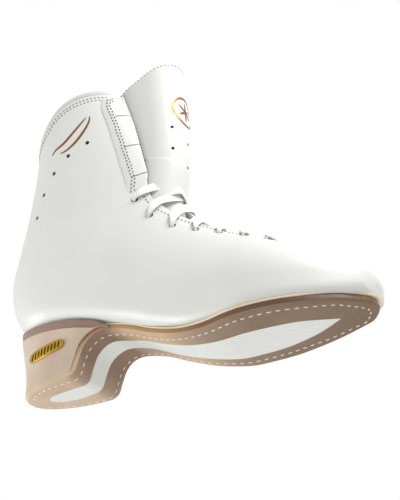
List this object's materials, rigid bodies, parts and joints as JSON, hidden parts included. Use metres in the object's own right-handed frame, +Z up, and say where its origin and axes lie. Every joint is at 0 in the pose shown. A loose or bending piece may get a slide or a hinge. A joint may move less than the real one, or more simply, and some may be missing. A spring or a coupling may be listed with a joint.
{
  "type": "figure skate boot",
  "caption": "White figure-skate boot with a padded collar, lacing hooks, a hinged tongue, a stacked heel and a stitched leather sole with flat blade faces.",
  "frame": {"origin": "centre of the heel base's flat bottom face", "axes": "+X towards the toe, +Y towards the inner side of the foot, +Z up; right foot"},
  "size_m": [0.2592, 0.0792, 0.229],
  "materials": {
    "upper_leather": "smooth semi-gloss white microfibre leather",
    "collar_leather": "soft light grey padded collar leather",
    "tongue_leather": "smooth white leather",
    "sole_leather": "tan leather, fine grain, satin",
    "heel_leather": "tan lacquered heel cover",
    "seat_leather": "dark tan edge",
    "welt_leather": "cream welt",
    "pale_rubber": "pale matte inlay",
    "brass_plate": "polished gold-coloured plate",
    "copper_foil": "copper-coloured foil emblem",
    "eyelet_steel": "hidden steel eyelet",
    "hook_steel": "steel hook",
    "screw_steel": "zinc-plated screw",
    "shank_steel": "spring steel strip",
    "fibre_board": "pressed fibre board",
    "stiffener": "thermoplastic stiffener",
    "foam": "soft foam padding",
    "lining_textile": "microfibre lining",
    "footbed_foam": "removable foam footbed with textile top",
    "cork": "ground cork filler",
    "lace_cotton": "flat woven white lace"
  },
  "bodies": {
    "boot": {"upper_shell": "upper_leather", "insole_board": "fibre_board", "toe_puff": "stiffener", "heel_counter": "stiffener", "ankle_pad_lateral": "foam", "ankle_pad_medial": "foam", "vamp_backer": "stiffener", "lining": "lining_textile", "collar_pad": "collar_leather", "footbed": "footbed_foam", "cork_filler": "cork", "steel_shank": "shank_steel", "outsole": "sole_leather", "outsole_inlay": "pale_rubber", "welt": "welt_leather", "heel_block": "heel_leather", "heel_seat": "seat_leather", "heel_badge": "brass_plate", "heel_screw_1": "screw_steel", "heel_screw_2": "screw_steel", "heel_screw_3": "screw_steel", "eyelet_lateral_1": "eyelet_steel", "eyelet_medial_1": "eyelet_steel", "eyelet_lateral_2": "eyelet_steel", "eyelet_medial_2": "eyelet_steel", "eyelet_lateral_3": "eyelet_steel", "eyelet_medial_3": "eyelet_steel", "eyelet_lateral_4": "eyelet_steel", "eyelet_medial_4": "eyelet_steel", "eyelet_lateral_5": "eyelet_steel", "eyelet_medial_5": "eyelet_steel", "eyelet_lateral_6": "eyelet_steel", "eyelet_medial_6": "eyelet_steel", "eyelet_lateral_7": "eyelet_steel", "eyelet_medial_7": "eyelet_steel", "hook_lateral_1": "hook_steel", "hook_tab_lateral_1": "upper_leather", "hook_lateral_2": "hook_steel", "hook_tab_lateral_2": "upper_leather", "hook_lateral_3": "hook_steel", "hook_tab_lateral_3": "upper_leather", "hook_medial_1": "hook_steel", "hook_tab_medial_1": "upper_leather", "hook_medial_2": "hook_steel", "hook_tab_medial_2": "upper_leather", "hook_medial_3": "hook_steel", "hook_tab_medial_3": "upper_leather", "tongue_lower_cover": "tongue_leather", "tongue_lower_padding": "foam", "lace": "lace_cotton"},
    "tongue": {"tongue_upper_cover": "tongue_leather", "tongue_upper_padding": "foam", "tongue_emblem": "copper_foil"}
  },
  "joints": [
    {"name": "tongue_bend", "type": "hinge", "parent": "boot", "child": "tongue", "pos_m": [0.104, 0, 0.132], "axis": [0, 1, 0], "range_deg": [-12, 30], "stiffness_Nm_per_rad": 0.4}
  ]
}
